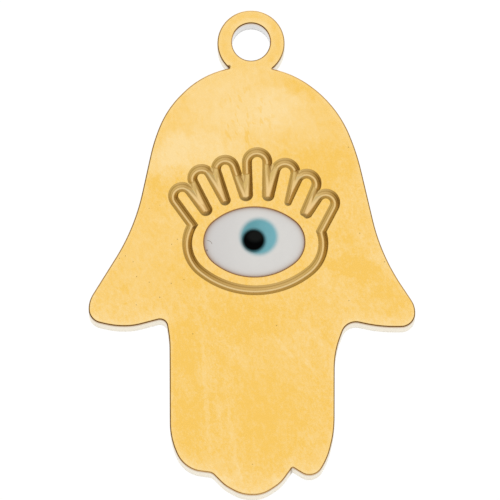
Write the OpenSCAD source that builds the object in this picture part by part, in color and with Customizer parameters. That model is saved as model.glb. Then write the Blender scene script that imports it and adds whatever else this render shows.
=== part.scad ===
// Hamsa pendant: a flat hand cut from one metal sheet, with a hanging loop, an engraved eye with
// seven lashes and an inlaid enamel eye.
// It lies on its back. The back is at z = 0, +Y points to the loop and +X to the right thumb.

/* [Hand] */
// Width across both thumbs
hand_w = 17.08; // [14:0.02:22]
// Length from the fingertips to the top of the dome
hand_l = 22.88; // [20:0.02:30]
// Width across the fingers, below the thumbs
fingers_w = 8.62; // [7:0.02:11]
// Length of the fingers, from their tips up to the undersides of the thumbs
fingers_l = 8.95; // [7:0.05:10]
// Thickness of the metal sheet
plate_t = 1.5; // [1.2:0.1:2.5]

/* [Loop] */
// Outer diameter of the hanging loop
loop_d = 3.53; // [3:0.01:5]
// Diameter of the hole in the loop
loop_hole_d = 2; // [1:0.05:2.4]
// How deep the loop is sunk into the top of the dome
loop_sunk = 0.5; // [0.2:0.01:1]
// How far the loop sits to the right of the middle
loop_x = -0.05; // [-1:0.01:1]
// How far the hole sits above the middle of the loop
loop_hole_up = 0.07; // [-0.1:0.01:0.15]

/* [Eye] */
// Width of the eye's opening
eye_w = 5.28; // [4.4:0.02:6]
// Height of the eye's opening
eye_h = 3.74; // [3.2:0.02:4.2]
// Height of the eye's middle above the fingertips
eye_up = 13.48; // [12:0.02:15]
// How far the eye sits to the right of the middle
eye_x = 0.12; // [-0.6:0.01:0.6]
// Radius of the opening's two ends
eye_end_r = 1.44; // [0.9:0.02:1.6]
// Depth of the recess that holds the enamel
recess_depth = 0.6; // [0.4:0.05:0.9]
// Gap between the white enamel and the wall of the recess
enamel_gap = 0.02; // [0.01:0.005:0.04]
// How far the enamel stays below the face of the plate
enamel_low = 0.04; // [0.02:0.005:0.1]

/* [Iris and pupil] */
// Diameter of the blue iris
iris_d = 1.88; // [1.5:0.02:2.3]
// How far the iris sits to the right of the eye's middle
iris_x = 0.27; // [-0.5:0.01:0.5]
// How far the iris sits above the eye's middle
iris_y = 0.29; // [-0.4:0.01:0.4]
// How deep the iris goes into the white
iris_deep = 0.2; // [0.1:0.01:0.3]
// Gap round the iris in the white
iris_gap = 0.01; // [0.005:0.005:0.03]
// Diameter of the black pupil
pupil_d = 1.2; // [0.8:0.02:1.4]
// How far the pupil sits to the right of the eye's middle
pupil_x = -0.02; // [-0.4:0.01:0.4]
// How far the pupil sits above the eye's middle
pupil_y = 0.07; // [-0.3:0.01:0.3]
// Height of the pupil's drop over the white
pupil_h = 0.03; // [0.02:0.002:0.05]

/* [Engraved line] */
// Width of the engraved line
groove_w = 0.53; // [0.4:0.01:0.6]
// Depth of the engraved line
groove_depth = 0.25; // [0.1:0.01:0.5]
// Width of the gold rim at each end of the eye
rim_w = 0.66; // [0.45:0.01:0.8]
// Width of the gold rim above and below the eye
rim_h = 0.38; // [0.25:0.01:0.6]
// Radius of the rim's two ends
rim_end_r = 1.65; // [1.4:0.01:2]
// How far the rim sits to the right of the eye
rim_x = 0.05; // [-0.1:0.01:0.1]
// How far the rim sits above the eye
rim_y = -0.07; // [-0.1:0.01:0.1]
// Height of the longest lash's tip above the middle of the rim
lash_h = 4.61; // [4.2:0.01:5.2]
// Width of a lash of share 1
lash_w = 0.52; // [0.4:0.01:0.6]

/* [Hidden] */
$fn = 180;
// Largest gap between an arc of an outline and its straight steps
arc_gap = 0.002;
// Share of each side of the outline that always stays straight
straight = 0.02;
// Radius of a gap's round end between two lashes, as a share of half of the gap
gap_round = 1.02;
// Length that a cut runs past the face that it opens
over = 0.2;
// The middle of the whole pendant, from the fingertips to the top of the loop, is at y = 0
total_l = hand_l + loop_d - loop_sunk;
tips_y = -total_l / 2;
loop_y = total_l / 2 - loop_d / 2;
hole_y = loop_y + loop_hole_up;
eye_y = tips_y + eye_up;
floor_z = plate_t - recess_depth;
enamel_z = plate_t - enamel_low;
rim_a = eye_w / 2 + rim_w;
rim_b = eye_h / 2 + rim_h;

// Columns of the outline's tables: across, up, bend.
// across is a share of half the width, and bend is the length of each side that a rounding takes,
// as a share of the same half width.
// In upper, up is a share of the length from the thumbs' undersides to the dome. In fingers, it is
// a share of the fingers' length.
upper_right = [
    [0.202, 1.000, 0.202],
    [0.531, 0.846, 0.205],
    [0.648, 0.660, 0.100],
    [0.792, 0.277, 0.220],
    [1.000, 0.080, 0.050],
    [1.000, 0.000, 0.100],
    [0.790, -0.002, 0.100]
];
fingers_right = [
    [1.150, 1.040, 0.150],
    [1.004, 0.848, 0.200],
    [1.000, 0.375, 0.170],
    [0.919, 0.220, 0.130],
    [0.794, 0.118, 0.120],
    [0.643, 0.118, 0.060],
    [0.491, 0.164, 0.012],
    [0.350, 0.070, 0.080],
    [0.130, 0.000, 0.110]
];
fingers_left = [
    [-0.120, 0.000, 0.110],
    [-0.327, 0.054, 0.070],
    [-0.484, 0.131, 0.035],
    [-0.703, 0.145, 0.080],
    [-0.864, 0.196, 0.110],
    [-0.994, 0.335, 0.200],
    [-1.000, 0.918, 0.100],
    [-1.044, 1.054, 0.098]
];
upper_left = [
    [-0.729, 0.002, 0.060],
    [-0.841, 0.002, 0.070],
    [-1.000, 0.025, 0.078],
    [-1.000, 0.099, 0.055],
    [-0.721, 0.379, 0.222],
    [-0.604, 0.712, 0.105],
    [-0.521, 0.841, 0.150],
    [-0.256, 1.000, 0.229]
];

// Columns: root across, root up, tip across, tip up, root width, tip width.
// Across is a share of the rim's half width, up of lash_h and width of lash_w. All are measured from
// the middle of the rim.
lashes = [
    [-0.760, 0.155, -1.158, 0.550, 0.84, 0.84],
    [-0.519, 0.302, -0.851, 0.758, 0.97, 0.85],
    [-0.240, 0.345, -0.475, 0.865, 0.90, 0.86],
    [0.038, 0.360, 0.030, 0.944, 0.80, 1.03],
    [0.332, 0.350, 0.476, 0.820, 1.12, 1.04],
    [0.566, 0.292, 0.814, 0.695, 1.14, 1.00],
    [0.830, 0.113, 1.119, 0.470, 1.22, 0.87]
];
// Columns: across and up of the middle of the round end of each gap between two lashes, as shares of
// the rim's half width and of lash_h
gaps = [
    [-0.786, 0.391],
    [-0.481, 0.503],
    [-0.149, 0.569],
    [0.206, 0.560],
    [0.522, 0.477],
    [0.815, 0.362]
];

function placed(table, half_w, from_y, length) = [
    for (row = table) [row[0] * half_w, from_y + row[1] * length, row[2] * half_w]
];
// The outline's corners, clockwise from the dome: x, y and the bend that each may take
corners = concat(
    placed(upper_right, hand_w / 2, tips_y + fingers_l, hand_l - fingers_l),
    placed(fingers_right, fingers_w / 2, tips_y, fingers_l),
    placed(fingers_left, fingers_w / 2, tips_y, fingers_l),
    placed(upper_left, hand_w / 2, tips_y + fingers_l, hand_l - fingers_l)
);
count = len(corners);

// Points along an arc, without its last one
function arc(centre, r, from, to) =
    let (steps = ceil(abs(to - from) / (2 * acos(1 - arc_gap / r))))
    [for (k = [0 : steps - 1]) centre + r * heading(from + (to - from) * k / steps)];
function heading(angle) = [cos(angle), sin(angle)];
function angle_of(v) = atan2(v[1], v[0]);
function unit(v) = v / norm(v);

function spot(i) = [corners[(i + count) % count][0], corners[(i + count) % count][1]];
function bend(i) = corners[(i + count) % count][2];
// The share of their bends that two corners may take of the side between them, which stays straight
// over a small part of its length
function room(i, j) = min(1, (1 - straight) * norm(spot(i) - spot(j)) / (bend(i) + bend(j)));
// The length of each side that the rounding of corner i takes
function reach(i) = bend(i) * min(room(i, i - 1), room(i, i + 1));
function before(i) = unit(spot(i - 1) - spot(i));
function after(i) = unit(spot(i + 1) - spot(i));
// The arc that rounds corner i, from the side before it to the side after it
function rounded(i) =
    let (
        half_angle = acos(before(i) * after(i)) / 2,
        r = reach(i) * tan(half_angle),
        centre = spot(i) + unit(before(i) + after(i)) * r / sin(half_angle),
        from = angle_of(spot(i) + before(i) * reach(i) - centre),
        sweep = sign(cross(before(i), after(i))) * (2 * half_angle - 180)
    )
    concat(arc(centre, r, from, from + sweep), [spot(i) + after(i) * reach(i)]);

module hand_outline() {
    polygon([for (i = [0 : count - 1]) each rounded(i)]);
}

// An oval of four arcs: half its width, half its height and the radius of its two ends
module oval(a, b, end_r) {
    flat_r = (a * a + b * b - 2 * a * end_r) / (2 * (b - end_r));
    end_x = a - end_r;
    flat_y = flat_r - b;
    joint = angle_of([end_x, flat_y]);
    polygon(concat(
        arc([end_x, 0], end_r, -joint, joint),
        arc([0, -flat_y], flat_r, joint, 180 - joint),
        arc([-end_x, 0], end_r, 180 - joint, 180 + joint),
        arc([0, flat_y], flat_r, 180 + joint, 360 - joint)
    ));
}

function root(row) = [row[0] * rim_a, row[1] * lash_h];
function tip(row) = [row[2] * rim_a, row[3] * lash_h];
function root_r(row) = row[4] * lash_w / 2;
function tip_r(row) = row[5] * lash_w / 2;
// How far up a lash, as a share of its length, the point p lies
function share_up(row, p) = (p - root(row)) * (tip(row) - root(row)) / pow(norm(tip(row) - root(row)), 2);
// The point of a lash's middle line that is nearest to p
function beside(row, p) = root(row) + (tip(row) - root(row)) * share_up(row, p);
// The distance from the point p to the nearer side of a lash
function gap_to(row, p) =
    norm(p - beside(row, p)) - root_r(row) - (tip_r(row) - root_r(row)) * share_up(row, p);

// One lash, grown by an even margin all round
module lash(row, margin) {
    along = angle_of(tip(row) - root(row));
    aside = heading(along - 90);
    foot = aside * (root_r(row) + margin);
    polygon(concat(
        [root(row) - foot, root(row) + foot],
        arc(tip(row), tip_r(row) + margin, along - 90, along + 90),
        [tip(row) - aside * (tip_r(row) + margin)]
    ));
}

// The web between two lashes, with the round end of their gap cut out of it
module web(i, margin) {
    left = lashes[i];
    right = lashes[i + 1];
    centre = [gaps[i][0] * rim_a, gaps[i][1] * lash_h];
    end_r = gap_round * max(gap_to(left, centre), gap_to(right, centre));
    difference() {
        polygon([root(left), beside(left, centre), centre, beside(right, centre), root(right)]);
        if (end_r > margin) translate(centre) circle(end_r - margin);
    }
}

// The rim of the eye with its lashes, grown by an even margin all round
module lashed_rim(margin) {
    translate([eye_x + rim_x, eye_y + rim_y]) {
        oval(rim_a + margin, rim_b + margin, rim_end_r + margin);
        for (row = lashes) {
            lash(row, margin);
        }
        for (i = [0 : len(gaps) - 1]) {
            web(i, margin);
        }
    }
}

module engraved_line() {
    translate([0, 0, plate_t - groove_depth]) {
        linear_extrude(groove_depth + over) {
            difference() {
                lashed_rim(groove_w);
                lashed_rim(0);
            }
        }
    }
}

// The eye's oval, smaller than its opening by an even margin
module eye_oval(margin) {
    translate([eye_x, eye_y]) oval(eye_w / 2 - margin, eye_h / 2 - margin, eye_end_r - margin);
}

module hand_plate() color("#f8cf79") {
    difference() {
        union() {
            linear_extrude(plate_t) hand_outline();
            translate([loop_x, loop_y, 0]) cylinder(d = loop_d, h = plate_t);
        }
        translate([loop_x, hole_y, -over]) cylinder(d = loop_hole_d, h = plate_t + 2 * over);
        engraved_line();
        translate([0, 0, floor_z]) linear_extrude(recess_depth + over) eye_oval(0);
    }
}

module white_enamel() color("#d8d6d4") {
    difference() {
        translate([0, 0, floor_z]) linear_extrude(enamel_z - floor_z) eye_oval(enamel_gap);
        translate([eye_x + iris_x, eye_y + iris_y, enamel_z - iris_deep]) {
            cylinder(d = iris_d, h = iris_deep + over);
        }
    }
}

module blue_enamel() color("#6bb2be") {
    translate([eye_x + iris_x, eye_y + iris_y, enamel_z - iris_deep]) {
        cylinder(d = iris_d - 2 * iris_gap, h = iris_deep);
    }
}

// A low drop: a thin disc with a sloped edge
module black_enamel() color("#101214") {
    translate([eye_x + pupil_x, eye_y + pupil_y, enamel_z]) {
        cylinder(d1 = pupil_d, d2 = pupil_d - 2 * pupil_h, h = pupil_h);
    }
}

hand_plate();
white_enamel();
blue_enamel();
black_enamel();
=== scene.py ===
import math

import bmesh
import bpy
import numpy as np
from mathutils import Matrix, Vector, kdtree
from mathutils.geometry import delaunay_2d_cdt


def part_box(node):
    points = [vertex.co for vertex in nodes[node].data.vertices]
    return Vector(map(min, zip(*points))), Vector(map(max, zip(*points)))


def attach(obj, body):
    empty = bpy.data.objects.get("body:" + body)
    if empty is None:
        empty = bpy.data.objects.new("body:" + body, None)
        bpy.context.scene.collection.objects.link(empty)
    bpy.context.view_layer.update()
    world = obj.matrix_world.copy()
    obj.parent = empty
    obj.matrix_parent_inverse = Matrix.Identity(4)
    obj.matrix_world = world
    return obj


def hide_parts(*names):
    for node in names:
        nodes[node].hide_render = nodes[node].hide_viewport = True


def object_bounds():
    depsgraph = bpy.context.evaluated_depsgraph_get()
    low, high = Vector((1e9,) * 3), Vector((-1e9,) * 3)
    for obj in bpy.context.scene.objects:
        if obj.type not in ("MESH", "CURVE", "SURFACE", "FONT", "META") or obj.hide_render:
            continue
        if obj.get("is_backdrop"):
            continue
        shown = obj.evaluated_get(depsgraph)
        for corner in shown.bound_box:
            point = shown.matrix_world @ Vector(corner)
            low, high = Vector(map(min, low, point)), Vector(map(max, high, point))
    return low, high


# A flat gold coloured hand pendant that lies on a pale table, seen from almost straight above.
# Lengths in the settings are millimetres, unless a note says otherwise.
mm = 0.001
farAway = 9.0  # a distance past which no edge shows
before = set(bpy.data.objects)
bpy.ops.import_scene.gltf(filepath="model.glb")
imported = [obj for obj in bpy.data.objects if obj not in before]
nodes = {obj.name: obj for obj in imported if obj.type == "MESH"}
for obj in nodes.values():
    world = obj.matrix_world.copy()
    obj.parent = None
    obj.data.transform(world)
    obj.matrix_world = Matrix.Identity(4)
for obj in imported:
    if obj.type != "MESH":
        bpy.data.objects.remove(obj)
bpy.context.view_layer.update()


def addNode(tree, kind, values=None, **settings):
    node = tree.nodes.new(kind)
    for name, value in settings.items():
        setattr(node, name, value)
    for key, value in (values or {}).items():
        if isinstance(value, bpy.types.NodeSocket):
            tree.links.new(value, node.inputs[key])
        else:
            node.inputs[key].default_value = value
    return node


def math2(tree, operation, a, b=0.0, c=None, clamp=False):
    values = {0: a, 1: b}
    if c is not None:
        values[2] = c
    return addNode(tree, "ShaderNodeMath", values, operation=operation, use_clamp=clamp).outputs[0]


def remap(tree, value, fromMin, fromMax, toMin=0.0, toMax=1.0, style="SMOOTHSTEP"):
    values = {"Value": value, "From Min": fromMin, "From Max": fromMax, "To Min": toMin, "To Max": toMax}
    return addNode(tree, "ShaderNodeMapRange", values, interpolation_type=style).outputs[0]


def mixColors(tree, factor, a, b):
    node = addNode(tree, "ShaderNodeMix", data_type="RGBA", blend_type="MIX")
    for socket, value in ((node.inputs[0], factor), (node.inputs[6], a), (node.inputs[7], b)):
        if isinstance(value, bpy.types.NodeSocket):
            tree.links.new(value, socket)
        else:
            socket.default_value = value
    return node.outputs[2]


def noise(tree, vector, scale, detail=2.0, roughness=0.5, distortion=0.0):
    values = {"Vector": vector, "Scale": scale, "Detail": detail, "Roughness": roughness,
              "Distortion": distortion}
    return addNode(tree, "ShaderNodeTexNoise", values).outputs[0]


def farFrom(tree, place, x, y, wide=1.0, high=1.0, turn=0.0):
    # the distance from a spot, in shares of its half width and half height
    values = {"Vector": place, "Location": (x, y, 0), "Rotation": (0, 0, math.radians(turn)),
              "Scale": (wide, high, 1000)}
    local = addNode(tree, "ShaderNodeMapping", values, vector_type="TEXTURE").outputs[0]
    return addNode(tree, "ShaderNodeVectorMath", {0: local}, operation="LENGTH").outputs[1]


def colour(r, g, b):
    # a colour given in 0 to 255 steps, made linear
    steps = [v / 255 for v in (r, g, b)]
    return tuple(v / 12.92 if v <= 0.04045 else ((v + 0.055) / 1.055) ** 2.4 for v in steps) + (1.0,)


def rimLoops(node, height):
    # the closed edges of a node's upward faces at one height, in millimetres, the largest first
    bm = bmesh.new()
    bm.from_mesh(node.data)
    bmesh.ops.remove_doubles(bm, verts=bm.verts, dist=1e-7)
    bm.normal_update()
    flat = {f for f in bm.faces
            if f.normal.z > 0.99 and all(abs(v.co.z - height * mm) < 1e-6 for v in f.verts)}
    following = {}
    for face in flat:
        for corner in face.loops:
            if not any(other in flat for other in corner.edge.link_faces if other is not face):
                following[corner.vert] = corner.link_loop_next.vert
    loops = []
    while following:
        vert, after = following.popitem()
        points = [vert]
        while after is not points[0]:
            points.append(after)
            after = following.pop(after)
        loops.append(np.array([[v.co.x, v.co.y] for v in points]) / mm)
    bm.free()
    return sorted(loops, key=lambda p: -abs(area(p)))


def area(points):
    x, y = points.T
    return 0.5 * float(np.dot(x, np.roll(y, -1)) - np.dot(y, np.roll(x, -1)))


def smoothLoop(points, step, cornerTurn=40):
    # even points along a closed outline, curved between its points except at sharp corners
    ahead = np.roll(points, -1, 0) - points
    length = np.linalg.norm(ahead, axis=1)
    unit = ahead / length[:, None]
    behind, behindLength = np.roll(unit, 1, 0), np.roll(length, 1)
    turn = np.degrees(np.arccos(np.clip((unit * behind).sum(1), -1, 1)))
    tangent = unit * length[:, None] + behind * behindLength[:, None]  # a long straight side keeps its way
    tangent /= np.linalg.norm(tangent, axis=1)[:, None]
    out = []
    for i in range(len(points)):
        j = (i + 1) % len(points)
        leave = (unit[i] if turn[i] > cornerTurn else tangent[i]) * length[i]
        arrive = (unit[i] if turn[j] > cornerTurn else tangent[j]) * length[i]
        steps = max(1, round(length[i] / step))
        for k in range(steps):
            t = k / steps
            out.append((2 * t**3 - 3 * t**2 + 1) * points[i] + (t**3 - 2 * t**2 + t) * leave
                       + (3 * t**2 - 2 * t**3) * points[j] + (t**3 - t**2) * arrive)
    return np.array(out)


def normalsOf(points):
    # unit normals to the left of the way along a closed outline, longer at corners
    ahead = np.roll(points, -1, 0) - points
    unit = ahead / np.linalg.norm(ahead, axis=1)[:, None]
    left = np.stack([-unit[:, 1], unit[:, 0]], 1)
    both = left + np.roll(left, 1, 0)
    both /= np.maximum(np.linalg.norm(both, axis=1), 1e-9)[:, None]
    return both / np.maximum((both * left).sum(1), 0.6)[:, None]


def inside(points, loop):
    # True for each point that lies inside a closed outline
    result = np.zeros(len(points), bool)
    x, y = points.T
    for (x1, y1), (x2, y2) in zip(loop, np.roll(loop, -1, 0)):
        if y1 != y2:
            crosses = (y1 > y) != (y2 > y)
            result ^= crosses & (x < (x2 - x1) * (y - y1) / (y2 - y1) + x1)
    return result


def nearestOf(points, loop):
    # the place in a closed outline of its point nearest to each point
    tree = kdtree.KDTree(len(loop))
    for i, p in enumerate(loop):
        tree.insert((p[0], p[1], 0), i)
    tree.balance()
    return np.array([tree.find((p[0], p[1], 0))[1] for p in points])


def distanceTo(points, loop):
    # the distance from each point to a closed outline
    near = nearestOf(points, loop)
    best = np.full(len(points), 1e9)
    for shift in (-1, 0):
        a, b = loop[(near + shift) % len(loop)], loop[(near + shift + 1) % len(loop)]
        along = b - a
        t = np.clip(((points - a) * along).sum(1) / np.maximum((along**2).sum(1), 1e-12), 0, 1)
        best = np.minimum(best, np.linalg.norm(points - a - along * t[:, None], axis=1))
    return best


def spread(points, size):
    # leaves one point in each small square
    cells = np.floor(points / size).astype(np.int64)
    first = np.unique(cells, axis=0, return_index=True)[1]
    return points[np.sort(first)]


def gridPoints(low, high, step):
    x, y = np.meshgrid(np.arange(low[0], high[0], step), np.arange(low[1], high[1], step * 0.866))
    x = x + (np.arange(len(x)) % 2)[:, None] * step / 2
    return np.stack([x.ravel(), y.ravel()], 1)


def fillFlat(loops, others, holes, kept=()):
    # triangles between closed outlines, through other points; kept outlines also stay as edges
    points, edges = [], []
    for loop in list(loops) + list(kept):
        first = len(points)
        points += [tuple(p) for p in loop]
        edges += [(first + i, first + (i + 1) % len(loop)) for i in range(len(loop))]
    points += [tuple(p) for p in others]
    result = delaunay_2d_cdt([Vector(p) for p in points], edges, [], 1, 1e-7)
    verts = np.array([tuple(v) for v in result[0]])
    faces = np.array(result[2])
    middle = verts[faces].mean(1)
    keep = inside(middle, loops[0])
    for hole in holes:
        keep &= ~inside(middle, hole)
    faces = faces[keep]
    a, b, c = (verts[faces[:, i]] for i in range(3))
    turned = (b[:, 0] - a[:, 0]) * (c[:, 1] - a[:, 1]) - (b[:, 1] - a[:, 1]) * (c[:, 0] - a[:, 0]) < 0
    faces[turned] = faces[turned][:, ::-1]
    used, faces = np.unique(faces, return_inverse=True)
    return verts[used], faces.reshape(-1, 3)


class Shell:
    # a closed mesh that grows from flat fills and bands, with numbers kept at each point

    def __init__(self, names):
        self.names, self.parts, self.faces, self.count = names, [], [], 0

    def add(self, points, faces, values):
        table = np.zeros((len(points), 3 + len(self.names)))
        table[:, :3] = points
        for i, name in enumerate(self.names):
            table[:, 3 + i] = values.get(name, 0.0)
        self.parts.append(table)
        self.faces += [tuple(int(v) + self.count for v in f) for f in faces]
        self.count += len(points)

    def addBand(self, rings, values):
        # quads between rings of the same number of points
        n = len(rings[0])
        faces = []
        for k in range(len(rings) - 1):
            for i in range(n):
                j = (i + 1) % n
                faces.append((k * n + i, k * n + j, (k + 1) * n + j, (k + 1) * n + i))
        self.add(np.concatenate(rings), faces, values)

    def build(self, name):
        table = np.concatenate(self.parts)
        mesh = bpy.data.meshes.new(name)
        mesh.from_pydata((table[:, :3] * mm).tolist(), [], self.faces)
        for i, label in enumerate(self.names):
            layer = mesh.attributes.new(label, "FLOAT", "POINT")
            layer.data.foreach_set("value", table[:, 3 + i].astype(np.float32))
        bm = bmesh.new()
        bm.from_mesh(mesh)
        bmesh.ops.remove_doubles(bm, verts=bm.verts, dist=2e-8)
        bmesh.ops.recalc_face_normals(bm, faces=bm.faces)
        bm.to_mesh(mesh)
        bm.free()
        piece = bpy.data.objects.new(name, mesh)
        bpy.context.scene.collection.objects.link(piece)
        return piece


def withHeight(points, z):
    return np.column_stack([points, np.full(len(points), z)])


def finishPiece(piece, tree, values):
    # runs a Geometry Nodes tree on a piece and keeps its result as a plain mesh
    modifier = piece.modifiers.new(tree.name, "NODES")
    modifier.node_group = tree
    for item in tree.interface.items_tree:
        if item.item_type == "SOCKET" and item.in_out == "INPUT" and item.name in values:
            modifier[item.identifier] = values[item.name]
    bpy.context.view_layer.update()
    graph = bpy.context.evaluated_depsgraph_get()
    mesh = bpy.data.meshes.new_from_object(piece.evaluated_get(graph), preserve_all_data_layers=True,
                                           depsgraph=graph)
    piece.modifiers.remove(modifier)
    old = piece.data
    piece.data = mesh
    bpy.data.meshes.remove(old)
    mesh.name = piece.name
    mesh.polygons.foreach_set("use_smooth", [True] * len(mesh.polygons))
    edges = bmesh.new()
    edges.from_mesh(mesh)
    openEdges = sum(1 for e in edges.edges if len(e.link_faces) != 2)
    volume = edges.calc_volume(signed=True) / mm**3
    edges.free()
    print(f"{piece.name}: {len(mesh.polygons)} faces, {openEdges} open edges, {volume:.3f} mm3")
    return piece


def faceTree(name, labels):
    # a tree that takes a mesh, a number for each label and a material, and what its builder works with
    tree = bpy.data.node_groups.new(name, "GeometryNodeTree")
    sockets = tree.interface
    sockets.new_socket("Geometry", in_out="INPUT", socket_type="NodeSocketGeometry")
    for label in labels:
        sockets.new_socket(label, in_out="INPUT", socket_type="NodeSocketFloat")
    sockets.new_socket("Material", in_out="INPUT", socket_type="NodeSocketMaterial")
    sockets.new_socket("Geometry", in_out="OUTPUT", socket_type="NodeSocketGeometry")

    def calc(operation, a, b=0.0, c=None):
        return math2(tree, operation, a, b, c)

    def field(label):
        return addNode(tree, "GeometryNodeInputNamedAttribute", {"Name": label}, data_type="FLOAT").outputs[0]

    return tree, addNode(tree, "NodeGroupInput").outputs, calc, field


def faceWaves(tree, given, calc):
    # a faintly uneven face that never rises above the flat one
    place = addNode(tree, "GeometryNodeInputPosition").outputs[0]
    seed = addNode(tree, "ShaderNodeCombineXYZ", {2: given["Seed"]}).outputs[0]
    shifted = addNode(tree, "ShaderNodeVectorMath", {0: place, 1: seed}, operation="ADD").outputs[0]
    waves = addNode(tree, "ShaderNodeTexNoise",
                    {"Vector": shifted, "Scale": given["Wave Scale"], "Detail": 1.0}).outputs[0]
    return calc("MULTIPLY", calc("SUBTRACT", waves, 1.0), given["Wave Height"])


def liftFace(tree, given, calc, field, height):
    # moves the points of the front by a height in millimetres and ends the tree
    lifted = calc("MULTIPLY", calc("MULTIPLY", height, field("front")), mm)
    move = addNode(tree, "ShaderNodeCombineXYZ", {2: lifted}).outputs[0]
    moved = addNode(tree, "GeometryNodeSetPosition",
                    {"Geometry": given["Geometry"], "Offset": move}).outputs[0]
    real = addNode(tree, "GeometryNodeRealizeInstances", {"Geometry": moved}).outputs[0]
    done = addNode(tree, "GeometryNodeSetMaterial",
                   {"Geometry": real, "Material": given["Material"]}).outputs[0]
    addNode(tree, "NodeGroupOutput", {"Geometry": done})
    return tree


def reliefTree():
    # engraves a flat face: each point's depth follows from its distances to the edges
    tree, given, calc, field = faceTree("plateRelief", (
        "Groove Depth", "Groove Slope", "Floor Blend", "Step Size", "Step Share", "Edge Width", "Edge Drop",
        "Rim Width", "Rim Drop", "Wave Height", "Wave Scale", "Seed"))
    groove = field("grooveDistance")
    # a rounded trough; the cutter's steps turn it flatter and steeper at even distances from the edge
    turns = calc("DIVIDE", calc("MULTIPLY", groove, 2 * math.pi), given["Step Size"])
    swing = calc("DIVIDE", calc("MULTIPLY", given["Step Size"], given["Step Share"]), 2 * math.pi)
    stepped = calc("ADD", groove, calc("MULTIPLY", calc("SINE", turns), swing))
    sloped = calc("MULTIPLY", stepped, given["Groove Slope"])
    depth = calc("SMOOTH_MIN", sloped, given["Groove Depth"], given["Floor Blend"])
    cut = calc("MULTIPLY", depth, calc("GREATER_THAN", groove, 0.0))

    def shoulder(distance, width, drop):
        # a bevel that falls by drop over the last width before an edge, with a soft upper side
        share = calc("DIVIDE", distance, width)
        short = calc("SUBTRACT", 1.0, calc("MINIMUM", share, 1.0))
        return calc("MULTIPLY", calc("POWER", short, 1.2), drop)

    edge = shoulder(field("edgeDistance"), given["Edge Width"], given["Edge Drop"])
    rim = shoulder(field("rimDistance"), given["Rim Width"], given["Rim Drop"])
    settle = calc("MINIMUM", calc("MULTIPLY", field("edgeDistance"), 3.0), 1.0)
    wave = calc("MULTIPLY", faceWaves(tree, given, calc), settle)
    sunk = calc("ADD", cut, calc("ADD", edge, rim))
    return liftFace(tree, given, calc, field, calc("SUBTRACT", wave, sunk))


def poolTree():
    # sets enamel: its face sinks in a rounded shoulder towards its edge
    tree, given, calc, field = faceTree("enamelPool", (
        "Edge Width", "Edge Drop", "Wave Height", "Wave Scale", "Seed"))
    share = calc("MINIMUM", calc("DIVIDE", field("edgeDistance"), given["Edge Width"]), 1.0)
    short = calc("POWER", calc("SUBTRACT", 1.0, share), 2.0)
    roundness = calc("SUBTRACT", 1.0, calc("SQRT", calc("SUBTRACT", 1.0, short)))
    drop = calc("MULTIPLY", roundness, given["Edge Drop"])
    return liftFace(tree, given, calc, field, calc("SUBTRACT", faceWaves(tree, given, calc), drop))


def newMaterial(name):
    material = bpy.data.materials.new(name)
    material.use_nodes = True
    tree = material.node_tree
    tree.nodes.clear()
    shader = addNode(tree, "ShaderNodeBsdfPrincipled")
    addNode(tree, "ShaderNodeOutputMaterial", {"Surface": shader.outputs[0]})
    coordinates = addNode(tree, "ShaderNodeTexCoord").outputs["Object"]
    values = {"Vector": coordinates, "Scale": (1000, 1000, 1000)}
    place = addNode(tree, "ShaderNodeMapping", values).outputs[0]
    return material, tree, shader, place  # the place is in millimetres


def speckGroup():
    # small dark specks: a mask of sparse round dots
    tree = bpy.data.node_groups.new("specks", "ShaderNodeTree")
    tree.interface.new_socket("Place", in_out="INPUT", socket_type="NodeSocketVector")
    for name in ("Scale", "Size", "Share"):
        tree.interface.new_socket(name, in_out="INPUT", socket_type="NodeSocketFloat")
    tree.interface.new_socket("Mask", in_out="OUTPUT", socket_type="NodeSocketFloat")
    given = addNode(tree, "NodeGroupInput").outputs
    cells = addNode(tree, "ShaderNodeTexVoronoi", {"Vector": given["Place"], "Scale": given["Scale"]})
    dot = math2(tree, "LESS_THAN", cells.outputs["Distance"], given["Size"])
    split = addNode(tree, "ShaderNodeSeparateColor", {0: cells.outputs["Color"]})
    chosen = math2(tree, "LESS_THAN", split.outputs[0], given["Share"])
    addNode(tree, "NodeGroupOutput", {"Mask": math2(tree, "MULTIPLY", dot, chosen)})
    return tree


def speckMask(tree, place, specks, sizes):
    return addNode(tree, "ShaderNodeGroup", {"Place": place, **sizes}, node_tree=specks).outputs[0]


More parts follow.
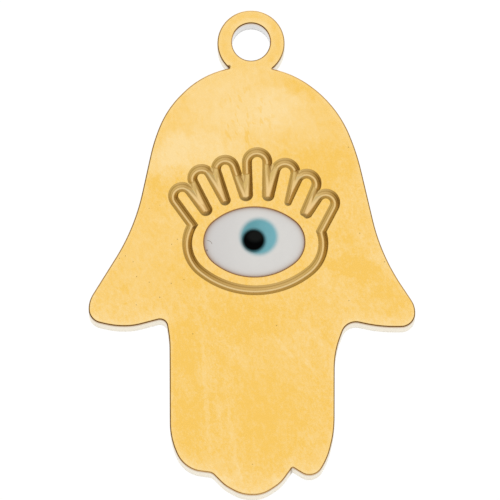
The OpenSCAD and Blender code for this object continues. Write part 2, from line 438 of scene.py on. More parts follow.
goldLook = {
    "deep": colour(249, 202, 100),
    "pale": colour(255, 224, 160),
    "cutFloor": colour(243, 207, 145),
    # painted shade on the engraved line's walls, by which way they face
    "cutShadeDown": colour(224, 192, 126),
    "cutShadeSide": colour(218, 186, 112),
    "cutShadeUp": colour(206, 190, 142),
    # tarnish in the cutter's steps, deepened by painted shade
    "tarnishAndShade": colour(160, 122, 62),
    # painted shade and highlight on the chamfered edges, by which way they face
    "edgeShadeDown": colour(130, 95, 40),
    "edgeShadeTip": colour(207, 169, 109),
    "edgeShadeSide": colour(158, 125, 68),
    "edgeShadeUp": colour(214, 172, 108),
    "edgeHighlightTop": colour(250, 212, 150),
    "edgeLoop": colour(196, 164, 108),
    "holePlace": (-0.05, 11.26),
    "holeReach": 1.15,
    # painted shade on the bevel round the eye's recess
    "rim": colour(214, 172, 118),
    "wall": colour(240, 235, 219),
    # painted shade on the walls just below the front's edge
    "wallTopShade": colour(190, 158, 112),
    "wallDull": colour(234, 222, 200),
    # the hole's wall, greyer and darker with painted shade
    "bore": colour(206, 204, 202),
    "wallShadeHeights": (1.05, 1.4),
    "dabPlace": (-0.3, 7.3, 1.9, 2.2),
    "speck": colour(120, 84, 30),
    # how many cells of specks in a millimetre, a speck's size in its cell, and the share of cells with one
    "speckSizes": {"Scale": 1.6, "Size": 0.05, "Share": 0.12},
    "scatter": colour(150, 112, 62),
    "scatterSizes": {"Scale": 3.3, "Size": 0.11, "Share": 0.3},
    "scatterPlace": (-5.4, -0.6, 2.4, 3.4),
    # painted shade in the notches: across, up, radius, strength
    "notchShade": ((2.08, -11.6, 0.13, 0.6), (-1.2, 9.93, 0.12, 0.85), (1.3, 9.93, 0.08, 0.4)),
    # how far each pattern sways the tone, and what the tone starts from
    "sway": {"strokes": 0.65, "slanted": 0.5, "cloud": 0.95, "grain": 1.35, "powder": 0.75, "dabs": -0.55},
    "toneGain": 0.81, "toneStart": 0.31,
    # across, up, half width, half height, turn in degrees, strength; pale patches are positive
    "patches": (
        (-0.8, 8.0, 2.8, 1.9, -10, 0.50),
        (1.6, 7.6, 1.5, 1.1, -10, 0.36),
        (-2.9, 5.4, 2.3, 1.0, -5, 0.55),
        (-4.3, 4.9, 0.9, 1.2, 0, 0.34),
        (-7.0, -3.1, 1.9, 0.5, 5, 0.18),
        (6.2, -0.5, 0.7, 1.4, 30, 0.22),
        (2.9, -5.0, 0.7, 1.9, 43, 0.22),
        (3.5, 4.5, 1.9, 1.5, 10, -0.33),
        (-4.6, 3.4, 0.9, 1.0, 0, -0.30),
        (6.1, -0.8, 0.4, 2.7, 37, -0.26),
        (5.2, -0.9, 1.3, 0.6, -15, -0.40),
        (7.0, -2.4, 1.1, 0.7, -25, -0.14),
        (-0.2, -3.6, 1.7, 1.4, 0, -0.32),
        (-3.6, -5.1, 0.7, 1.8, 0, -0.30),
        (0.8, -9.0, 1.9, 2.9, 0, -0.30),
        (2.5, 8.8, 1.0, 0.4, -20, -0.22),
        (-3.2, -9.0, 0.9, 2.2, 0, -0.24),
        (-3.6, -1.4, 0.9, 0.9, 0, -0.14),
        (-0.9, -12.0, 0.7, 0.3, 10, 0.30),
        (1.0, -12.05, 0.7, 0.25, -10, 0.28),
        (-1.5, 6.3, 3.0, 1.2, 0, 0.14),
        (0.6, 7.9, 2.2, 1.2, 0, 0.06),
        (-4.9, 4.6, 0.9, 0.8, 0, 0.14),
        (3.4, 6.1, 0.9, 0.8, 0, 0.14),
        (3.3, -5.0, 0.8, 0.7, 0, -0.10),
        (3.2, -6.6, 1.2, 4.2, 0, -0.15),
        (1.7, -3.7, 1.0, 1.2, 0, -0.14),
        (-2.3, -6.6, 1.9, 4.2, 0, -0.15),
    ),
    # across, up, half width, half height, strength; the grain is finer there
    "calm": (
        (-5.3, 0.3, 2.2, 2.6, 0.40),
        (0.8, -7.5, 1.8, 4.0, 0.25),
    ),
    # thin wiping lines that keep their way
    "lines": (
        (-2.4, -7.7, 0.14, 3.7, 4, 0.30),
        (-1.0, -9.8, 0.13, 2.4, 9, 0.30),
        (-1.75, -8.4, 0.10, 2.6, 6, 0.16),
        (1.6, -5.0, 0.12, 1.0, 40, 0.30),
        (2.6, -5.6, 0.12, 1.3, 38, 0.22),
        (3.4, -4.6, 0.14, 1.2, 35, 0.22),
        (-4.0, 5.9, 0.10, 0.9, 70, 0.20),
        (1.6, 5.6, 0.12, 1.3, 62, 0.18),
        (-6.0, -1.6, 0.10, 1.2, -35, 0.16),
    ),
}


def goldMaterial(specks):
    look, sway = goldLook, goldLook["sway"]
    material, tree, shader, place = newMaterial("polishedGold")

    def calc(operation, a, b=0.0, c=None, clamp=False):
        return math2(tree, operation, a, b, c, clamp)

    def stretched(turn, scale):
        # patterns that repeat so many times in a millimetre across and along, turned anticlockwise
        values = {"Vector": place, "Rotation": (0, 0, math.radians(turn)), "Scale": [1 / v for v in scale]}
        return addNode(tree, "ShaderNodeMapping", values, vector_type="TEXTURE").outputs[0]

    def own(name):
        return addNode(tree, "ShaderNodeAttribute", attribute_name=name).outputs["Fac"]

    # soft cloudy patches with ragged sides
    ragged = addNode(tree, "ShaderNodeTexNoise",
                     {"Vector": place, "Scale": 1.1, "Detail": 5.0, "Roughness": 0.65}).outputs[1]
    push = addNode(tree, "ShaderNodeVectorMath", {0: ragged, 1: (0.5, 0.5, 0.5)},
                   operation="SUBTRACT").outputs[0]
    tone = None
    for table, wander, outer, inner in (("patches", 2.2, 1.4, 0.4), ("lines", 0.35, 1.2, 0.5)):
        moved = addNode(tree, "ShaderNodeVectorMath", {0: push, "Scale": wander},
                        operation="SCALE").outputs[0]
        spot = addNode(tree, "ShaderNodeVectorMath", {0: place, 1: moved}, operation="ADD").outputs[0]
        for *where, strength in look[table]:
            patch = remap(tree, farFrom(tree, spot, *where), outer, inner, 0.0, strength)
            tone = patch if tone is None else calc("ADD", tone, patch)
    # long wiping strokes, a little slanted, and finer mottling
    strokes = noise(tree, stretched(6, (2.6, 0.6, 1)), 1.0, 4.0, 0.6, 0.6)
    slanted = noise(tree, stretched(33, (3.0, 0.9, 1)), 1.0, 3.0, 0.55, 0.4)
    cloud = noise(tree, place, 2.0, 5.0, 0.7, 0.3)
    grain = noise(tree, stretched(20, (8, 5, 7)), 1.0, 3.0, 0.65)
    powder = noise(tree, place, 13.0, 2.0, 0.7)
    for texture, name in ((strokes, "strokes"), (slanted, "slanted"), (cloud, "cloud")):
        tone = calc("MULTIPLY_ADD", calc("SUBTRACT", texture, 0.5), sway[name], tone)
    # the finest mottling fades towards the dome and the loop
    height = addNode(tree, "ShaderNodeSeparateXYZ", {0: place}).outputs[1]
    fading = remap(tree, height, 7.5, 3.0, 0.4, 1.15)
    for *where, strength in look["calm"]:
        calmer = remap(tree, farFrom(tree, place, *where), 1.3, 0.7, 1.0, 1.0 - strength)
        fading = calc("MULTIPLY", fading, calmer)
    for texture, name in ((grain, "grain"), (powder, "powder")):
        tone = calc("MULTIPLY_ADD", calc("MULTIPLY", calc("SUBTRACT", texture, 0.5), sway[name]), fading, tone)
    # short slanting dabs on the upper part
    far = farFrom(tree, place, *look["dabPlace"])
    dabs = remap(tree, noise(tree, stretched(20, (4.6, 1.9, 1)), 1.0, 1.0, 0.5), 0.57, 0.68)
    tone = calc("MULTIPLY_ADD", calc("MULTIPLY", dabs, remap(tree, far, 1.0, 0.5)), sway["dabs"], tone)
    # the face is paler near its edges, widest along the lower edges
    facing = own("facing")
    edgeAway = own("edgeDistance")
    onFront = own("front")
    lower = calc("MULTIPLY", remap(tree, edgeAway, 0.75, 0.1), remap(tree, facing, -0.2, -0.8))
    narrow = calc("MULTIPLY", remap(tree, edgeAway, 0.3, 0.06), 0.25)
    tone = calc("MULTIPLY_ADD", calc("MULTIPLY_ADD", lower, 0.38, narrow), onFront, tone)
    level = calc("MULTIPLY_ADD", tone, look["toneGain"], look["toneStart"], clamp=True)
    face = mixColors(tree, level, look["deep"], look["pale"])

    # the engraved line is duller than the face; painted shade makes its walls browner, set by which way each
    # wall faces
    grooveAway = own("grooveDistance")
    marks = noise(tree, stretched(20, (14, 9, 9)), 1.0, 3.0, 0.6)
    ragged = calc("MULTIPLY_ADD", calc("SUBTRACT", marks, 0.5), 0.08, grooveAway)
    cutWallShade = mixColors(tree, remap(tree, facing, -0.98, -0.75), look["cutShadeDown"], look["cutShadeSide"])
    cutWallShade = mixColors(tree, remap(tree, facing, 0.1, 0.8), cutWallShade, look["cutShadeUp"])
    engraved = mixColors(tree, remap(tree, ragged, 0.1, 0.3), cutWallShade, look["cutFloor"])
    # tarnish stays in the cutter's steps, with painted shade that makes it stronger on walls facing down the
    # hand
    step = plateShape["stepSize"]
    swing = calc("SINE", calc("MULTIPLY_ADD", grooveAway, 2 * math.pi / step, 2.2))
    hairline = calc("MULTIPLY", remap(tree, swing, 0.35, 0.95), remap(tree, grooveAway, 0.26, 0.2))
    hairline = calc("MULTIPLY", hairline, remap(tree, facing, 0.3, -0.6, 0.05, 0.36))
    engraved = mixColors(tree, hairline, engraved, look["tarnishAndShade"])
    inGroove = remap(tree, grooveAway, 0.0, 0.02)
    surface = mixColors(tree, inGroove, face, engraved)
    # painted shade on the chamfered edges: darkest where they face down the hand, lighter where they face up,
    # with a painted highlight where they face straight up
    nearEdge = calc("MULTIPLY", remap(tree, edgeAway, 0.062, 0.05), onFront)
    edge = mixColors(tree, remap(tree, height, -8.5, -10.0), look["edgeShadeDown"], look["edgeShadeTip"])
    sides = mixColors(tree, remap(tree, height, 9.2, 10.2), look["edgeShadeSide"], look["edgeLoop"])
    edge = mixColors(tree, remap(tree, facing, -0.9, -0.1), edge, sides)
    edge = mixColors(tree, remap(tree, facing, 0.1, 0.9), edge, look["edgeShadeUp"])
    edge = mixColors(tree, remap(tree, facing, 0.8, 1.0), edge, look["edgeHighlightTop"])
    # round the hole, painted shade darkens only the upper part's edge, and the rest takes the painted
    # highlight
    byHole = calc("LESS_THAN", farFrom(tree, place, *look["holePlace"]), look["holeReach"])
    edge = mixColors(tree, calc("MULTIPLY", byHole, remap(tree, facing, -0.75, -0.2)), edge, look["edgeHighlightTop"])
    surface = mixColors(tree, nearEdge, surface, edge)
    # painted shade: a brown band on the bevel round the eye's recess
    rimShadeMask = calc("MULTIPLY", remap(tree, own("rimDistance"), 0.05, 0.035), onFront)
    surface = mixColors(tree, rimShadeMask, surface, look["rim"])
    # the cut side walls are pale; painted shade makes them tan just below the front's edge, and the hole's
    # wall a darker grey
    below = remap(tree, addNode(tree, "ShaderNodeSeparateXYZ", {0: place}).outputs[2], *look["wallShadeHeights"])
    pale = mixColors(tree, cloud, look["wallDull"], look["wall"])
    surface = mixColors(tree, own("side"), surface, mixColors(tree, below, pale, look["wallTopShade"]))
    surface = mixColors(tree, own("hole"), surface, mixColors(tree, below, look["bore"], look["wallTopShade"]))
    dots = speckMask(tree, place, specks, look["speckSizes"])
    surface = mixColors(tree, calc("MULTIPLY", dots, 0.55), surface, look["speck"])
    # a scatter of finer specks on the left thumb
    dots = speckMask(tree, place, specks, look["scatterSizes"])
    near = remap(tree, farFrom(tree, place, *look["scatterPlace"]), 1.3, 0.6, 0.0, 0.6)
    surface = mixColors(tree, calc("MULTIPLY", dots, near), surface, look["scatter"])
    # painted shade in the notches, in the specks' colour
    for across, up, radius, strength in look["notchShade"]:
        spot = remap(tree, farFrom(tree, place, across, up), radius, 0.4 * radius, 0.0, strength)
        surface = mixColors(tree, spot, surface, look["speck"])
    tree.links.new(surface, shader.inputs["Base Color"])
    shader.inputs["Metallic"].default_value = 1.0
    rough = calc("ADD", remap(tree, level, 0.0, 1.0, 0.16, 0.26, "LINEAR"), calc("MULTIPLY", inGroove, 0.06))
    rough = calc("ADD", rough, calc("MULTIPLY", own("side"), 0.15))
    tree.links.new(rough, shader.inputs["Roughness"])
    # fine scratches and the cutter's marks
    scratches = calc("ADD", grain, calc("MULTIPLY", strokes, 0.5))
    fine = calc("MULTIPLY_ADD", calc("MULTIPLY", marks, inGroove), 0.6, scratches)
    bump = addNode(tree, "ShaderNodeBump", {"Height": fine, "Strength": 0.25, "Distance": 0.000004})
    tree.links.new(bump.outputs[0], shader.inputs["Normal"])
    return material


enamelLook = {
    "middle": colour(240, 245, 255),
    "left": colour(230, 234, 245),
    "cloud": colour(231, 235, 246),
    # the brown of the painted shade towards the rim
    "edge": colour(156, 112, 62),
    "irisLeft": colour(104, 179, 201),
    "irisRight": colour(125, 200, 225),
    "irisX": 0.36, "irisY": 0.81, "irisRadius": 0.975, "irisBlur": 0.18,
    "pupilX": 0.09, "pupilY": 0.615, "pupilRadius": 0.62, "pupilBlur": 0.145,
    "black": (0.0002, 0.0002, 0.0003, 1.0),
    # a painted highlight on the pupil's upper part
    "paintedHighlight": (0.010, 0.012, 0.0125, 1.0),
    "highlightX": 0.17, "highlightY": 0.83, "highlightWide": 0.48, "highlightHigh": 0.36,
    "scratch": colour(172, 166, 164),
    "scratchX": -2.32, "scratchY": 0.38, "scratchRadius": 0.225,
    "pit": colour(120, 104, 98),
    "pitX": -2.36, "pitY": 0.08,
    "speck": colour(150, 140, 135),
    "speckSizes": {"Scale": 2.1, "Size": 0.05, "Share": 0.06},
    "roughness": 0.22, "whiteShine": 0.8, "blueShine": 0.3, "blackShine": 0.02,
}


def melt(tree, far, radius, blur):
    # 1 inside a round patch and 0 outside, over a narrow ring where two enamels ran together
    return remap(tree, far, radius + blur, radius - blur)


def enamelColours(tree, place):
    look = enamelLook
    across = addNode(tree, "ShaderNodeSeparateXYZ", {0: place}).outputs[0]
    white = mixColors(tree, remap(tree, across, -2.4, 0.2), look["left"], look["middle"])
    milky = noise(tree, place, 1.4, 3.0, 0.6)
    white = mixColors(tree, remap(tree, milky, 0.3, 0.8, 0.0, 0.3), white, look["cloud"])
    rightward = remap(tree, math2(tree, "MULTIPLY_ADD", milky, 0.8, across), 0.3, 1.6)
    blue = mixColors(tree, rightward, look["irisLeft"], look["irisRight"])
    far = farFrom(tree, place, look["irisX"], look["irisY"])
    surface = mixColors(tree, melt(tree, far, look["irisRadius"], look["irisBlur"]), white, blue)
    # a faint grey painted highlight lies on the upper part of the black
    far = farFrom(tree, place, look["highlightX"], look["highlightY"], look["highlightWide"], look["highlightHigh"])
    paintedHighlight = remap(tree, far, 1.2, 0.4)
    black = mixColors(tree, paintedHighlight, look["black"], look["paintedHighlight"])
    far = farFrom(tree, place, look["pupilX"], look["pupilY"])
    return mixColors(tree, melt(tree, far, look["pupilRadius"], look["pupilBlur"]), surface, black)


def whiteMaterial(specks):
    look = enamelLook
    material, tree, shader, place = newMaterial("whiteEnamel")
    surface = enamelColours(tree, place)
    away = addNode(tree, "ShaderNodeAttribute", attribute_name="edgeDistance").outputs["Fac"]
    # painted shade browns the enamel towards the rim, most at the left end
    parts = addNode(tree, "ShaderNodeSeparateXYZ", {0: place}).outputs
    across = parts[0]
    fade = remap(tree, across, -2.5, -1.5, -1 / 0.13, -1 / 0.095)
    thin = math2(tree, "POWER", math.e, math2(tree, "MULTIPLY", away, fade))
    surface = mixColors(tree, thin, surface, look["edge"])
    dots = speckMask(tree, place, specks, look["speckSizes"])
    surface = mixColors(tree, math2(tree, "MULTIPLY", dots, 0.3), surface, look["speck"])
    # a curved hairline scratch and a pit near the left end
    far = farFrom(tree, place, look["scratchX"], look["scratchY"])
    offLine = math2(tree, "ABSOLUTE", math2(tree, "SUBTRACT", far, look["scratchRadius"]))
    line = remap(tree, offLine, 0.028, 0.008)
    turn = math2(tree, "MULTIPLY", remap(tree, across, look["scratchX"] - 0.08, look["scratchX"]),
                 remap(tree, parts[1], look["scratchY"], look["scratchY"] + 0.08))
    surface = mixColors(tree, math2(tree, "MULTIPLY", line, turn), surface, look["scratch"])
    pit = remap(tree, farFrom(tree, place, look["pitX"], look["pitY"]), 0.07, 0.03, 0.0, 0.7)
    surface = mixColors(tree, pit, surface, look["pit"])
    tree.links.new(surface, shader.inputs["Base Color"])
    shader.inputs["Roughness"].default_value = look["roughness"]
    shader.inputs["Specular IOR Level"].default_value = look["whiteShine"]
    soft = noise(tree, place, 3.0, 2.0)
    bump = addNode(tree, "ShaderNodeBump", {"Height": soft, "Strength": 0.2, "Distance": 0.00001})
    tree.links.new(bump.outputs[0], shader.inputs["Normal"])
    return material


def innerMaterial(name, shine):
    material, tree, shader, place = newMaterial(name)
    tree.links.new(enamelColours(tree, place), shader.inputs["Base Color"])
    shader.inputs["Roughness"].default_value = enamelLook["roughness"]
    shader.inputs["Specular IOR Level"].default_value = shine
    return material


def endEase(loop, window):
    # near 1 where an anticlockwise outline turns back in a tight bay that opens upward, 0 elsewhere
    length = np.linalg.norm(np.roll(loop, -1, 0) - loop, axis=1)
    steps = max(2, round(window / float(np.median(length))))
    before = loop - np.roll(loop, steps, 0)
    after = np.roll(loop, -steps, 0) - loop
    crossed = before[:, 0] * after[:, 1] - before[:, 1] * after[:, 0]
    turn = np.degrees(np.arctan2(-crossed, (before * after).sum(1)))
    bay = np.clip((turn - 35) / 50, 0, 1)
    upward = np.clip(-normalsOf(loop)[:, 1], 0, 1)
    share = bay * upward
    for _ in range(3):
        share = (np.roll(share, 1) + share + np.roll(share, -1)) / 3
    return share


plateShape = {
    "pointStep": 0.045, "edgeWidth": 0.055, "edgeDrop": 0.05, "rimWidth": 0.04, "rimDrop": 0.04,
    "grooveRings": (0.008, 0.02, 0.035, 0.05, 0.065, 0.08, 0.095, 0.11, 0.125, 0.14, 0.155, 0.17, 0.185, 0.2,
                    0.215, 0.235, 0.265),
    "edgeRings": (0.010, 0.020, 0.032, 0.045, 0.060, 0.080, 0.120),
    "grooveDepth": 0.22, "grooveSlope": 0.78, "floorBlend": 0.16, "stepSize": 0.1, "stepShare": 0.14,
    "lean": 0.22, "bottomBlend": 0.14,
    "endWindow": 0.35, "endEase": 0.45,
    "ridgeFall": 0.22, "flatStep": 0.17, "grooveStep": 0.03, "waveHeight": 0.003, "waveScale": 420.0,
    "recess": 0.6, "backStep": 0.5, "backRing": 0.03, "seed": 0.37,
}


def handPlate(material):
    shape = plateShape
    low, high = (np.array(v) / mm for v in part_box("hand_plate"))
    top = high[2]
    # every outline turns anticlockwise here, so that its left side is its inside
    smooth = [smoothLoop(p, shape["pointStep"]) for p in rimLoops(nodes["hand_plate"], top)]
    outline, grooveOuter, grooveInner, eyeRim, bore = [p if area(p) > 0 else p[::-1] for p in smooth]
    outline = np.clip(outline, low[:2], high[:2])
    grooveWidth = float(np.median(distanceTo(grooveOuter, grooveInner)))

    ease = endEase(grooveInner, shape["endWindow"]) * shape["endEase"]

    def grooveAway(points):
        # the cutter ran half a width from the inner outline, so where two of its passes meet, a ridge stays
        # that sinks away from the outer outline; it left the ends between the lashes in a gentle ramp
        within = inside(points, grooveOuter) & ~inside(points, grooveInner)
        reach = distanceTo(points, grooveInner)
        fromOuter = distanceTo(points, grooveOuter)
        across = (grooveWidth - reach) * (1 - shape["ridgeFall"]) + fromOuter * shape["ridgeFall"]
        eased = reach * (1 - ease[nearestOf(points, grooveInner)])
        # it leaned, so the walls that face up the hand are steeper and the ones that face down flatter
        across = across * (1 + shape["lean"] * normalsOf(grooveOuter)[nearestOf(points, grooveOuter), 1])
        eased = eased * (1 - shape["lean"] * normalsOf(grooveInner)[nearestOf(points, grooveInner), 1])
        short = np.maximum(shape["bottomBlend"] - np.abs(eased - across), 0.0)
        soft = np.minimum(eased, across) - short ** 2 / (4 * shape["bottomBlend"])
        edge = np.minimum(np.minimum(eased, across), 0.5 * shape["bottomBlend"])
        return np.where(within, np.maximum(np.maximum(soft, edge), 0.0), 0.0)

    rings = []
    for ring in shape["grooveRings"]:
        both = np.concatenate([grooveOuter + normalsOf(grooveOuter) * ring,
                               grooveInner - normalsOf(grooveInner) * ring])
        nearest = np.minimum(distanceTo(both, grooveOuter), distanceTo(both, grooveInner))
        rings.append(both[(grooveAway(both) > 0) & (nearest > ring - 0.004)])
    between = gridPoints(grooveOuter.min(0), grooveOuter.max(0), shape["grooveStep"])
    toOuter, toInner = distanceTo(between, grooveOuter), distanceTo(between, grooveInner)
    wide = (grooveAway(between) > 0) & (toOuter + toInner > grooveWidth + 0.02)
    wide &= np.minimum(toOuter, toInner) > 0.02
    rings.append(between[wide])
    inGroove = spread(np.concatenate(rings[::-1]), 0.015)
    flat = []
    for ring in shape["edgeRings"]:
        flat.append(outline + normalsOf(outline) * ring)
        flat.append(bore - normalsOf(bore) * ring)
        flat.append(eyeRim - normalsOf(eyeRim) * ring)
    for loop, side in ((grooveOuter, -1), (grooveInner, 1)):
        for ring in (0.012, 0.03, 0.07):
            flat.append(loop + side * normalsOf(loop) * ring)
    edges = np.concatenate(flat)
    grid = gridPoints(low, high, shape["flatStep"])
    allLoops = (outline, grooveOuter, grooveInner, eyeRim, bore)
    gridAway = np.min([distanceTo(grid, p) for p in allLoops], axis=0)
    grid = grid[(gridAway > 0.14) & (grooveAway(grid) == 0)]
    edgesAway = np.min([distanceTo(edges, p) for p in allLoops], axis=0)
    edges = spread(edges[edgesAway > 0.008], 0.008)
    loose = np.concatenate([inGroove, edges[grooveAway(edges) == 0], grid])
    print("hand plate: points", len(loose))
    verts, faces = fillFlat([outline, bore, eyeRim], loose, [bore, eyeRim], [grooveOuter, grooveInner])
    print("hand plate: front filled", len(verts), len(faces))
    shell = Shell(("front", "grooveDistance", "edgeDistance", "rimDistance", "side", "hole", "facing"))
    toOutline, toBore = distanceTo(verts, outline), distanceTo(verts, bore)
    rimAway = distanceTo(verts, eyeRim)
    # how far the nearest edge faces up the hand, from -1 to 1
    facing = np.where(toOutline < toBore, -normalsOf(outline)[nearestOf(verts, outline), 1],
                      normalsOf(bore)[nearestOf(verts, bore), 1])
    cut = grooveAway(verts)
    # in the engraved line, how far its wall faces up the hand
    wallFacing = np.where(distanceTo(verts, grooveOuter) < distanceTo(verts, grooveInner),
                          normalsOf(grooveOuter)[nearestOf(verts, grooveOuter), 1],
                          -normalsOf(grooveInner)[nearestOf(verts, grooveInner), 1])
    shell.add(withHeight(verts, top), faces,
              {"front": 1.0, "grooveDistance": cut, "edgeDistance": np.minimum(toOutline, toBore),
               "rimDistance": rimAway, "facing": np.where(cut > 0, wallFacing, facing)})
    return shell, top, outline, bore, eyeRim, material


def closePlate(shell, top, outline, bore, eyeRim, material):
    # adds the side walls, the eye's recess and the back, then engraves the front
    shape = plateShape
    drop, width = shape["edgeDrop"], shape["edgeWidth"]
    floor = top - shape["recess"]
    # the front's own edge points are moved down by the tree, so the walls' first ring is moved with them
    for loop, label in ((outline, "side"), (bore, "hole")):
        way = 1 if label == "side" else -1
        normals = normalsOf(loop) * way
        heights = (top - drop - 0.01, top - drop - 0.05, 0.75 * top, 0.5 * top, 0.25 * top, drop)
        rings = [withHeight(loop, z) for z in heights]
        rings.append(withHeight(loop + normals * width * 0.3, drop * 0.35))
        rings.append(withHeight(loop + normals * width, 0.0))
        first = withHeight(loop, top)
        facing = -normals[:, 1]
        shell.addBand([first, rings[0]],
                      {"front": np.repeat([1.0, 0.0], len(loop)), label: np.repeat([0.0, 1.0], len(loop)),
                       "facing": np.tile(facing, 2), "rimDistance": farAway})
        shell.addBand(rings, {label: 1.0, "edgeDistance": farAway, "rimDistance": farAway,
                              "facing": np.tile(facing, len(rings))})
    first = withHeight(eyeRim, top)
    second = withHeight(eyeRim, top - shape["rimDrop"] - 0.01)
    shell.addBand([first, second], {"front": np.repeat([1.0, 0.0], len(eyeRim)), "edgeDistance": farAway})
    shell.addBand([second, withHeight(eyeRim, floor)], {"edgeDistance": farAway})
    verts, faces = fillFlat([eyeRim], gridPoints(eyeRim.min(0), eyeRim.max(0), 0.4), [])
    shell.add(withHeight(verts, floor), faces, {"edgeDistance": farAway})
    backOutline, backBore = outline + normalsOf(outline) * width, bore - normalsOf(bore) * width
    grid = gridPoints(outline.min(0), outline.max(0), shape["backStep"])
    grid = grid[np.minimum(distanceTo(grid, outline), distanceTo(grid, bore)) > 0.3]
    # close rings keep the walls' look off the back
    rings = np.concatenate([backOutline + normalsOf(outline) * shape["backRing"],
                            backBore - normalsOf(bore) * shape["backRing"]])
    rings = rings[np.minimum(distanceTo(rings, backOutline), distanceTo(rings, backBore)) > 0.02]
    verts, faces = fillFlat([backOutline, backBore], np.concatenate([rings, grid]), [backBore])
    shell.add(withHeight(verts, 0.0), faces[:, ::-1], {"edgeDistance": farAway, "rimDistance": farAway})
    piece = shell.build("goldHand")
    values = {"Groove Depth": shape["grooveDepth"], "Groove Slope": shape["grooveSlope"],
              "Floor Blend": shape["floorBlend"], "Step Size": shape["stepSize"],
              "Step Share": shape["stepShare"], "Edge Width": width, "Edge Drop": drop,
              "Rim Width": shape["rimWidth"], "Rim Drop": shape["rimDrop"], "Wave Height": shape["waveHeight"],
              "Wave Scale": shape["waveScale"], "Seed": shape["seed"], "Material": material}
    return finishPiece(piece, reliefTree(), values)


enamelShape = {
    "pointStep": 0.05, "rings": (0.006, 0.014, 0.025, 0.04, 0.06, 0.09, 0.13), "flatStep": 0.14,
    "whiteEdgeWidth": 0.03, "whiteEdgeDrop": 0.006, "pupilEdgeWidth": 0.12, "pupilEdgeDrop": 0.026,
    "waveHeight": 0.002, "waveScale": 500.0, "seam": 0.002, "gridMargin": 0.17, "seed": 0.21,
}


def enamelPiece(name, outer, hole, top, bottom, edgeLoops, values, tree):
    # a closed slab between two heights, whose upper face follows the pool's rule
    shape = enamelShape
    loops = [outer] + ([hole] if hole is not None else [])
    rings = [outer + normalsOf(outer) * r for r in shape["rings"]]
    if hole is not None:
        rings += [hole - normalsOf(hole) * r for r in shape["rings"]]
    grid = gridPoints(outer.min(0), outer.max(0), shape["flatStep"])
    grid = grid[np.min([distanceTo(grid, p) for p in loops], axis=0) > shape["gridMargin"]]
    verts, faces = fillFlat(loops, np.concatenate(rings + [grid]), loops[1:])
    shell = Shell(("front", "edgeDistance"))
    shell.add(withHeight(verts, top), faces, {"front": 1.0, "edgeDistance": distanceOrFar(verts, edgeLoops)})
    for loop in loops:
        onEdge = any(loop is p for p in edgeLoops)
        far = 0.0 if onEdge else farAway
        upper = values["Edge Drop"] + 0.004 if onEdge else 0.004
        middle = max(top - upper, bottom + 0.001)
        first, second = withHeight(loop, top), withHeight(loop, middle)
        both = np.concatenate([loop, loop])
        shell.addBand([first, second], {"front": np.repeat([1.0, 0.0], len(loop)),
                                        "edgeDistance": distanceOrFar(both, edgeLoops)})
        shell.addBand([second, withHeight(loop, bottom)], {"edgeDistance": far})
    verts, faces = fillFlat(loops, grid[::3], loops[1:])
    shell.add(withHeight(verts, bottom), faces[:, ::-1], {"edgeDistance": farAway})
    return finishPiece(shell.build(name), tree, values)


def distanceOrFar(points, edgeLoops):
    return np.min([distanceTo(points, p) for p in edgeLoops], axis=0) if edgeLoops else farAway


def ring(x, y, radius, step):
    turns = np.linspace(0, 2 * math.pi, max(24, round(2 * math.pi * radius / step)), endpoint=False)
    return np.stack([x + radius * np.cos(turns), y + radius * np.sin(turns)], 1)


def buildEnamel(white, blue, black):
    shape = enamelShape
    tree = poolTree()
    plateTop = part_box("hand_plate")[1][2] / mm
    whiteLow, whiteHigh = (np.array(v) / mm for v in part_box("white_enamel"))
    blueLow, blueHigh = (np.array(v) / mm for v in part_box("blue_enamel"))
    blackLow, blackHigh = (np.array(v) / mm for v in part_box("black_enamel"))
    outer = smoothLoop(rimLoops(nodes["hand_plate"], plateTop)[3], shape["pointStep"])
    outer = outer if area(outer) > 0 else outer[::-1]
    outer = outer + normalsOf(outer) * shape["seam"]
    middle = (blueLow + blueHigh) / 2
    radius = (blueHigh[0] - blueLow[0]) / 2
    iris = ring(middle[0], middle[1], radius, shape["pointStep"])
    wave = {"Wave Height": shape["waveHeight"], "Wave Scale": shape["waveScale"], "Seed": shape["seed"]}
    pieces = []
    values = {**wave, "Edge Width": shape["whiteEdgeWidth"], "Edge Drop": shape["whiteEdgeDrop"],
              "Material": white}
    pieces.append(enamelPiece("whiteOfEye", outer, iris, whiteHigh[2], whiteLow[2], [outer], values, tree))
    values = {**values, "Material": blue}
    pieces.append(enamelPiece("blueIris", iris, None, blueHigh[2], blueLow[2], [], values, tree))
    middle = (blackLow + blackHigh) / 2
    pupil = ring(middle[0], middle[1], (blackHigh[0] - blackLow[0]) / 2, shape["pointStep"])
    values = {**wave, "Wave Height": 0.0, "Edge Width": shape["pupilEdgeWidth"],
              "Edge Drop": shape["pupilEdgeDrop"], "Material": black}
    pieces.append(enamelPiece("blackPupil", pupil, None, blackHigh[2], blackLow[2], [pupil], values, tree))
    return pieces


studio = {
    "zenith": 1.0, "low": 0.275, "lowAcross": 0.1, "lowUp": -0.225, "lowEnds": 0.16, "lowTo": 0.07,
    "highFrom": 0.95, "tiltAcross": 0.2, "tiltUp": 0.1, "warmGreen": 1.35, "warmBlue": 2.1,
    "elevation": 78.1, "distance": 0.7, "lens": 963.0, "aimAcross": -0.102, "aimUp": 0.089,
    "floorSize": 1.6, "floorBelow": 0.02, "floorLight": 1.0, "floorShade": 0.04,
}


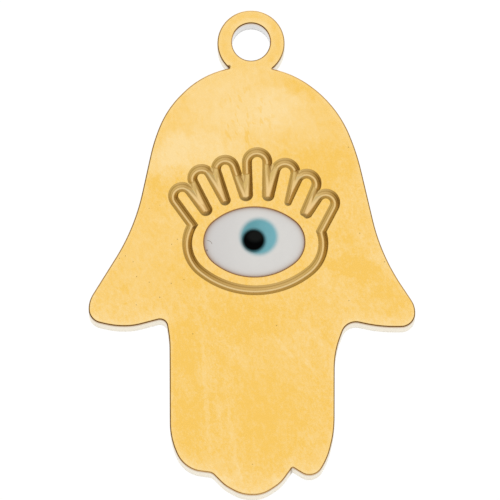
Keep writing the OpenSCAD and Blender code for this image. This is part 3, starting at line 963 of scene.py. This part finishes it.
def buildStudio():
    bpy.ops.mesh.primitive_plane_add(size=studio["floorSize"])  # metres
    table = bpy.context.object
    table.name = "paleTable"
    material = bpy.data.materials.new("paleTable")
    material.use_nodes = True
    shader = material.node_tree.nodes["Principled BSDF"]
    shader.inputs["Base Color"].default_value = (studio["floorShade"],) * 3 + (1.0,)
    shader.inputs["Roughness"].default_value = 0.9
    shader.inputs["Specular IOR Level"].default_value = 0.0
    shader.inputs["Emission Color"].default_value = (1, 1, 1, 1)
    shader.inputs["Emission Strength"].default_value = studio["floorLight"]
    # the table lies a hair below the back, and from under it the pendant shows
    for vert in table.data.vertices:
        vert.co.z = -studio["floorBelow"] * mm
    inner = material.node_tree
    clear = addNode(inner, "ShaderNodeBsdfTransparent").outputs[0]
    behind = addNode(inner, "ShaderNodeNewGeometry").outputs["Backfacing"]
    shown = addNode(inner, "ShaderNodeMixShader", {0: behind, 1: shader.outputs[0], 2: clear}).outputs[0]
    inner.links.new(shown, inner.nodes["Material Output"].inputs["Surface"])
    table.data.materials.append(material)
    table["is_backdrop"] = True
    # light comes from a bright overhead tent, whose sides are dimmer: the left and the back most
    world = bpy.data.worlds.new("softTent")
    bpy.context.scene.world = world
    world.use_nodes = True
    tree = world.node_tree
    tree.nodes.clear()
    seenWay = addNode(tree, "ShaderNodeTexCoord").outputs["Generated"]
    way = addNode(tree, "ShaderNodeSeparateXYZ", {0: seenWay})
    side = math2(tree, "MULTIPLY_ADD", way.outputs[0], studio["lowAcross"], studio["low"])
    for power, name in ((3, "lowUp"), (4, "lowEnds")):
        side = math2(tree, "MULTIPLY_ADD", math2(tree, "POWER", way.outputs[1], power), studio[name], side)
    side = math2(tree, "MAXIMUM", side, 0.0)
    leaning = math2(tree, "MULTIPLY_ADD", way.outputs[0], studio["tiltAcross"], way.outputs[2])
    leaning = math2(tree, "MULTIPLY_ADD", way.outputs[1], studio["tiltUp"], leaning)
    height = remap(tree, leaning, studio["lowTo"], studio["highFrom"], style="LINEAR")
    level = math2(tree, "MULTIPLY_ADD", height, math2(tree, "SUBTRACT", studio["zenith"], side), side)
    # the dimmer a part of the tent is, the warmer it is
    green = math2(tree, "POWER", level, studio["warmGreen"])
    blue = math2(tree, "POWER", level, studio["warmBlue"])
    light = addNode(tree, "ShaderNodeCombineColor", {0: level, 1: green, 2: blue}).outputs[0]
    seen = addNode(tree, "ShaderNodeLightPath").outputs["Is Camera Ray"]
    shade = mixColors(tree, seen, light, (1, 1, 1, 1))
    back = addNode(tree, "ShaderNodeBackground", {"Color": shade, "Strength": 1.0})
    addNode(tree, "ShaderNodeOutputWorld", {"Surface": back.outputs[0]})
    tilt = math.radians(studio["elevation"])
    away = Vector((0, -math.cos(tilt), math.sin(tilt)))
    up = Vector((0, math.sin(tilt), math.cos(tilt)))
    low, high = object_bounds()
    aim = Vector(((low.x + high.x) / 2, (low.y + high.y) / 2, high.z))
    aim += (Vector((1, 0, 0)) * studio["aimAcross"] + up * studio["aimUp"]) * mm
    camera = bpy.data.objects.new("camera", bpy.data.cameras.new("camera"))
    bpy.context.scene.collection.objects.link(camera)
    camera.data.lens = studio["lens"]
    camera.data.clip_start, camera.data.clip_end = 0.05, 5.0
    camera.location = aim + away * studio["distance"]
    camera.rotation_mode = "QUATERNION"
    camera.rotation_quaternion = (-away).to_track_quat("-Z", "Y")
    bpy.context.scene.camera = camera
    bpy.context.scene.view_settings.view_transform = "Standard"
    bpy.context.scene.view_settings.look = "None"
    print("studio ready")


buildStudio()
specks = speckGroup()
goldPiece = closePlate(*handPlate(goldMaterial(specks)))
enamelPieces = buildEnamel(whiteMaterial(specks), innerMaterial("blueEnamel", enamelLook["blueShine"]),
                           innerMaterial("blackEnamel", enamelLook["blackShine"]))
nodeSlots = (("hand_plate", "gold"), ("white_enamel", "white"), ("blue_enamel", "blue"),
             ("black_enamel", "black"))
for piece, (node, slot) in zip([goldPiece] + enamelPieces, nodeSlots):
    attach(piece, "root")
    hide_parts(node)
print("pieces placed")
